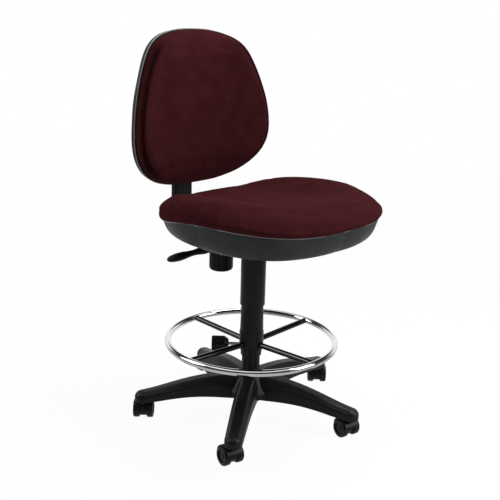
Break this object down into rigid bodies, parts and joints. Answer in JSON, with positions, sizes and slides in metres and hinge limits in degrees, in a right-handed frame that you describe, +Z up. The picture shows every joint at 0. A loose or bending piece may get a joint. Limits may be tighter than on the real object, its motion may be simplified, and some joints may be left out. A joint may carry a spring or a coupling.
{
  "type": "drafting chair",
  "caption": "Tall swivel drafting chair: contoured fabric seat and curved back on an upright bar, gas column with telescopic sleeves, chrome foot ring, star base on twin-wheel casters.",
  "frame": {"origin": "on the floor, under the axis of the column", "axes": "+Z up along the column; the chair faces -Y, so the sitter's right hand is towards -X"},
  "size_m": [0.5914, 0.6472, 0.999],
  "materials": {
    "nylon_black": "moulded satin black",
    "wheel_black": "moulded black nylon",
    "bush_plastic": "natural acetal",
    "black_paint": "black powder coat",
    "bright_steel": "zinc plated",
    "chrome": "polished chrome",
    "knob_black": "moulded black",
    "cover_black": "moulded black",
    "shell_charcoal": "grained charcoal",
    "plywood": "raw",
    "burgundy_fabric": "short-pile weave"
  },
  "bodies": {
    "base": {"base_star": "nylon_black", "gas_outer_tube": "black_paint", "tube_guide_bush": "bush_plastic", "lower_sleeve": "nylon_black"},
    "piston": {"piston_rod": "bright_steel", "thrust_bearing": "bright_steel"},
    "seat": {"gas_cylinder": "black_paint", "upper_sleeve": "nylon_black", "mechanism_housing": "black_paint", "lever_pin": "bright_steel", "seat_shell": "shell_charcoal", "seat_board": "plywood", "t_nuts": "bright_steel", "mechanism_bolts": "bright_steel", "seat_cushion": "burgundy_fabric"},
    "lever": {"lever_rod": "black_paint", "lever_paddle": "knob_black"},
    "release_button": {"release_button": "bright_steel"},
    "depth_knob": {"depth_knob": "knob_black", "depth_screw": "bright_steel"},
    "back_bar": {"upright_bar": "black_paint", "bar_cover": "cover_black"},
    "backrest": {"back_carriage": "cover_black", "back_board": "plywood", "back_shell": "shell_charcoal", "back_cushion": "burgundy_fabric", "back_bolts": "bright_steel"},
    "height_knob": {"height_knob": "knob_black", "height_screw": "bright_steel"},
    "ring_slider": {"ring_bushes": "bush_plastic"},
    "foot_ring": {"ring_tube": "chrome", "ring_spokes": "chrome", "ring_hub": "nylon_black"},
    "ring_knob": {"ring_knob": "knob_black", "ring_screw": "bright_steel"},
    "caster_1": {"caster_1_body": "nylon_black", "caster_1_stem": "bright_steel", "caster_1_axle": "bright_steel"},
    "caster_1_wheel_left": {"caster_1_wheel_left": "wheel_black"},
    "caster_1_wheel_right": {"caster_1_wheel_right": "wheel_black"},
    "caster_2": {"caster_2_body": "nylon_black", "caster_2_stem": "bright_steel", "caster_2_axle": "bright_steel"},
    "caster_2_wheel_left": {"caster_2_wheel_left": "wheel_black"},
    "caster_2_wheel_right": {"caster_2_wheel_right": "wheel_black"},
    "caster_3": {"caster_3_body": "nylon_black", "caster_3_stem": "bright_steel", "caster_3_axle": "bright_steel"},
    "caster_3_wheel_left": {"caster_3_wheel_left": "wheel_black"},
    "caster_3_wheel_right": {"caster_3_wheel_right": "wheel_black"},
    "caster_4": {"caster_4_body": "nylon_black", "caster_4_stem": "bright_steel", "caster_4_axle": "bright_steel"},
    "caster_4_wheel_left": {"caster_4_wheel_left": "wheel_black"},
    "caster_4_wheel_right": {"caster_4_wheel_right": "wheel_black"},
    "caster_5": {"caster_5_body": "nylon_black", "caster_5_stem": "bright_steel", "caster_5_axle": "bright_steel"},
    "caster_5_wheel_left": {"caster_5_wheel_left": "wheel_black"},
    "caster_5_wheel_right": {"caster_5_wheel_right": "wheel_black"}
  },
  "joints": [
    {"name": "seat_swivel", "type": "hinge", "parent": "base", "child": "piston", "pos_m": [0, 0, 0.06], "axis": [0, 0, 1], "continuous": true},
    {"name": "seat_height", "type": "slide", "parent": "piston", "child": "seat", "axis": [0, 0, 1], "range_m": [-0.04, 0.072]},
    {"name": "lever_lift", "type": "hinge", "parent": "seat", "child": "lever", "pos_m": [-0.03124, 0.00693, 0.478], "axis": [0.2164, 0.9763, 0], "range_deg": [0, 8], "stiffness_Nm_per_rad": 2},
    {"name": "button_press", "type": "slide", "parent": "seat", "child": "release_button", "axis": [0, 0, 1], "range_m": [-0.0046, 0], "stiffness_N_per_m": 400},
    {"name": "depth_knob_turn", "type": "hinge", "parent": "seat", "child": "depth_knob", "pos_m": [0, 0.121, 0.42], "axis": [0, 0, 1], "continuous": true},
    {"name": "back_depth", "type": "slide", "parent": "seat", "child": "back_bar", "axis": [0, 1, 0], "range_m": [-0.01, 0.04]},
    {"name": "back_height", "type": "slide", "parent": "back_bar", "child": "backrest", "axis": [0, 0, 1], "range_m": [-0.03, 0.035]},
    {"name": "height_knob_turn", "type": "hinge", "parent": "backrest", "child": "height_knob", "pos_m": [0, 0.32, 0.675], "axis": [0, 1, 0], "continuous": true},
    {"name": "ring_height", "type": "slide", "parent": "base", "child": "ring_slider", "axis": [0, 0, 1], "range_m": [-0.04, 0]},
    {"name": "ring_turn", "type": "hinge", "parent": "ring_slider", "child": "foot_ring", "pos_m": [0, 0, 0.205], "axis": [0, 0, 1], "continuous": true},
    {"name": "ring_knob_turn", "type": "hinge", "parent": "foot_ring", "child": "ring_knob", "pos_m": [-0.04243, 0.04243, 0.199], "axis": [-0.7071, 0.7071, 0], "continuous": true},
    {"name": "caster_1_swivel", "type": "hinge", "parent": "base", "child": "caster_1", "pos_m": [-0.22961, -0.17052, 0.05], "axis": [0, 0, 1], "continuous": true},
    {"name": "caster_1_wheel_left_roll", "type": "hinge", "parent": "caster_1", "child": "caster_1_wheel_left", "pos_m": [-0.22691, -0.15883, 0.024], "axis": [-0.9744, 0.225, 0], "continuous": true},
    {"name": "caster_1_wheel_right_roll", "type": "hinge", "parent": "caster_1", "child": "caster_1_wheel_right", "pos_m": [-0.22691, -0.15883, 0.024], "axis": [-0.9744, 0.225, 0], "continuous": true},
    {"name": "caster_2_swivel", "type": "hinge", "parent": "base", "child": "caster_2", "pos_m": [0.09122, -0.27106, 0.05], "axis": [0, 0, 1], "continuous": true},
    {"name": "caster_2_wheel_left_roll", "type": "hinge", "parent": "caster_2", "child": "caster_2_wheel_left", "pos_m": [0.09392, -0.25937, 0.024], "axis": [-0.9744, 0.225, 0], "continuous": true},
    {"name": "caster_2_wheel_right_roll", "type": "hinge", "parent": "caster_2", "child": "caster_2_wheel_right", "pos_m": [0.09392, -0.25937, 0.024], "axis": [-0.9744, 0.225, 0], "continuous": true},
    {"name": "caster_3_swivel", "type": "hinge", "parent": "base", "child": "caster_3", "pos_m": [0.28598, 0.00299, 0.05], "axis": [0, 0, 1], "continuous": true},
    {"name": "caster_3_wheel_left_roll", "type": "hinge", "parent": "caster_3", "child": "caster_3_wheel_left", "pos_m": [0.29462, 0.01133, 0.024], "axis": [-0.6947, 0.7193, 0], "continuous": true},
    {"name": "caster_3_wheel_right_roll", "type": "hinge", "parent": "caster_3", "child": "caster_3_wheel_right", "pos_m": [0.29462, 0.01133, 0.024], "axis": [-0.6947, 0.7193, 0], "continuous": true},
    {"name": "caster_4_swivel", "type": "hinge", "parent": "base", "child": "caster_4", "pos_m": [0.08553, 0.27291, 0.05], "axis": [0, 0, 1], "continuous": true},
    {"name": "caster_4_wheel_left_roll", "type": "hinge", "parent": "caster_4", "child": "caster_4_wheel_left", "pos_m": [0.09752, 0.27333, 0.024], "axis": [-0.0349, 0.9994, 0], "continuous": true},
    {"name": "caster_4_wheel_right_roll", "type": "hinge", "parent": "caster_4", "child": "caster_4_wheel_right", "pos_m": [0.09752, 0.27333, 0.024], "axis": [-0.0349, 0.9994, 0], "continuous": true},
    {"name": "caster_5_swivel", "type": "hinge", "parent": "base", "child": "caster_5", "pos_m": [-0.23313, 0.16567, 0.05], "axis": [0, 0, 1], "continuous": true},
    {"name": "caster_5_wheel_left_roll", "type": "hinge", "parent": "caster_5", "child": "caster_5_wheel_left", "pos_m": [-0.22449, 0.17401, 0.024], "axis": [-0.6947, 0.7193, 0], "continuous": true},
    {"name": "caster_5_wheel_right_roll", "type": "hinge", "parent": "caster_5", "child": "caster_5_wheel_right", "pos_m": [-0.22449, 0.17401, 0.024], "axis": [-0.6947, 0.7193, 0], "continuous": true}
  ],
  "couplings": [
    {"joint": "button_press", "follows": "lever_lift", "m_per_rad": -0.032}
  ]
}
